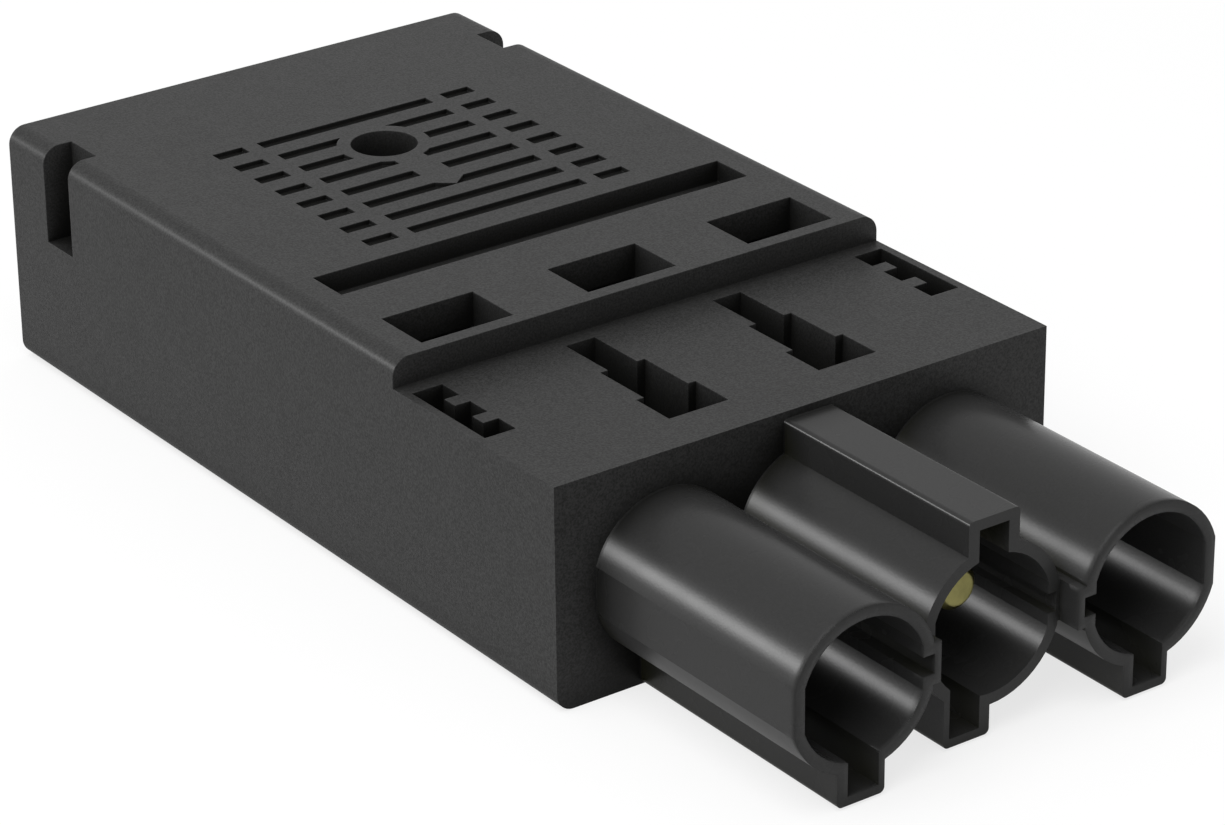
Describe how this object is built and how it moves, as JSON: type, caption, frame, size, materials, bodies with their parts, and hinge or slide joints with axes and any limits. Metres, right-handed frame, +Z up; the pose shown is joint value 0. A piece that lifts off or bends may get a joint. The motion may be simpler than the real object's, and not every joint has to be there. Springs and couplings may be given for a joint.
{
  "type": "electrical connector",
  "caption": "Male plug connector for building wiring: flat black body with keyed sleeves around brass pins, slotted top, screwdriver windows and a built-in cable clamp.",
  "frame": {"origin": "below the middle of the connector's box, on its underside", "axes": "+Z up from the underside, -Y towards the mating sleeves, +Y towards the cable, X across the poles"},
  "size_m": [0.036, 0.0794, 0.0162],
  "materials": {
    "housing_plastic": "fine spark-eroded texture, satin",
    "cover_plastic": "fine spark-eroded texture, satin",
    "block_plastic": "fine spark-eroded texture, satin",
    "clamp_plastic": "fine spark-eroded texture, satin",
    "contact_brass": "turned, satin",
    "strip_brass": "rolled, tin-washed",
    "spring_steel": "rolled stainless",
    "zinc_steel": "zinc plated",
    "black_steel": "black oxide, oiled"
  },
  "bodies": {
    "root": {"housing": "housing_plastic", "base_cover": "cover_plastic", "terminal_block": "block_plastic", "clamp_bar": "clamp_plastic", "cable_saddle": "clamp_plastic", "clamp_screw": "black_steel", "clamp_nut": "zinc_steel", "left_cover_screw": "zinc_steel", "right_cover_screw": "zinc_steel", "left_pin": "contact_brass", "left_strip": "strip_brass", "left_spring_a": "spring_steel", "left_spring_b": "spring_steel", "earth_pin": "contact_brass", "earth_strip": "strip_brass", "earth_spring_a": "spring_steel", "earth_spring_b": "spring_steel", "right_pin": "contact_brass", "right_strip": "strip_brass", "right_spring_a": "spring_steel", "right_spring_b": "spring_steel"}
  },
  "joints": []
}
